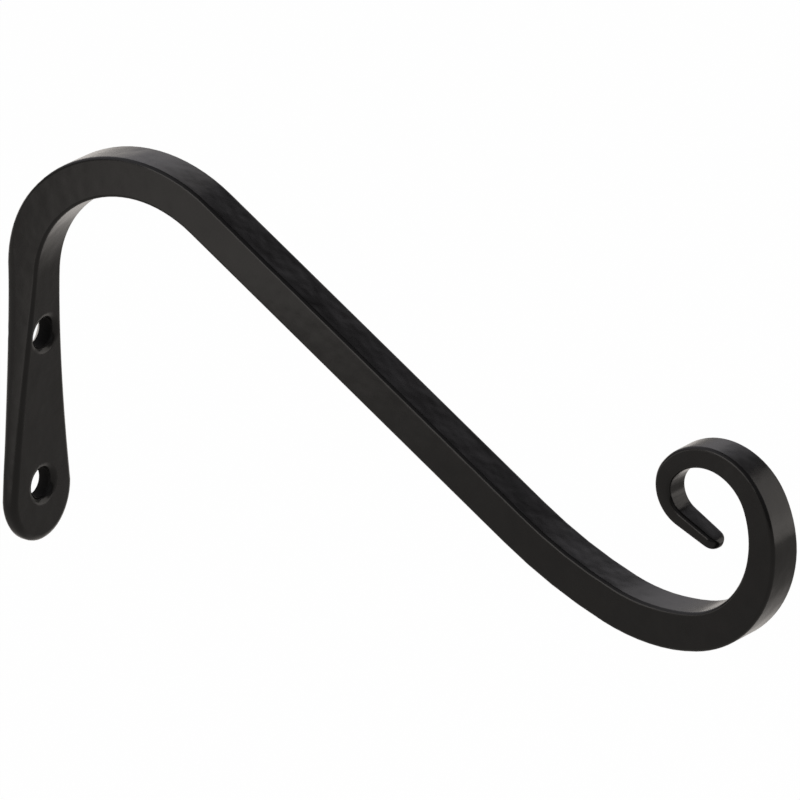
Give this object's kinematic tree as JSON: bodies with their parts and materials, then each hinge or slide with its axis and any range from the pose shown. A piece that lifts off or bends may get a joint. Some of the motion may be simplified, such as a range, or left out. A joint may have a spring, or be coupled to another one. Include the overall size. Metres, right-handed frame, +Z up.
{
  "type": "plant hook",
  "caption": "Forged wall hook for hanging plants: a flattened, drilled foot, a round bend, a sloping straight arm and a thinning scroll with a flat tip.",
  "frame": {"origin": "on the wall plane, midway between the two screw holes", "axes": "+X out of the wall along the arm, +Z up the wall, +Y across the bar"},
  "size_m": [0.1465, 0.0144, 0.0686],
  "materials": {
    "black_paint": "satin"
  },
  "bodies": {
    "root": {"hook": "black_paint"}
  },
  "joints": []
}
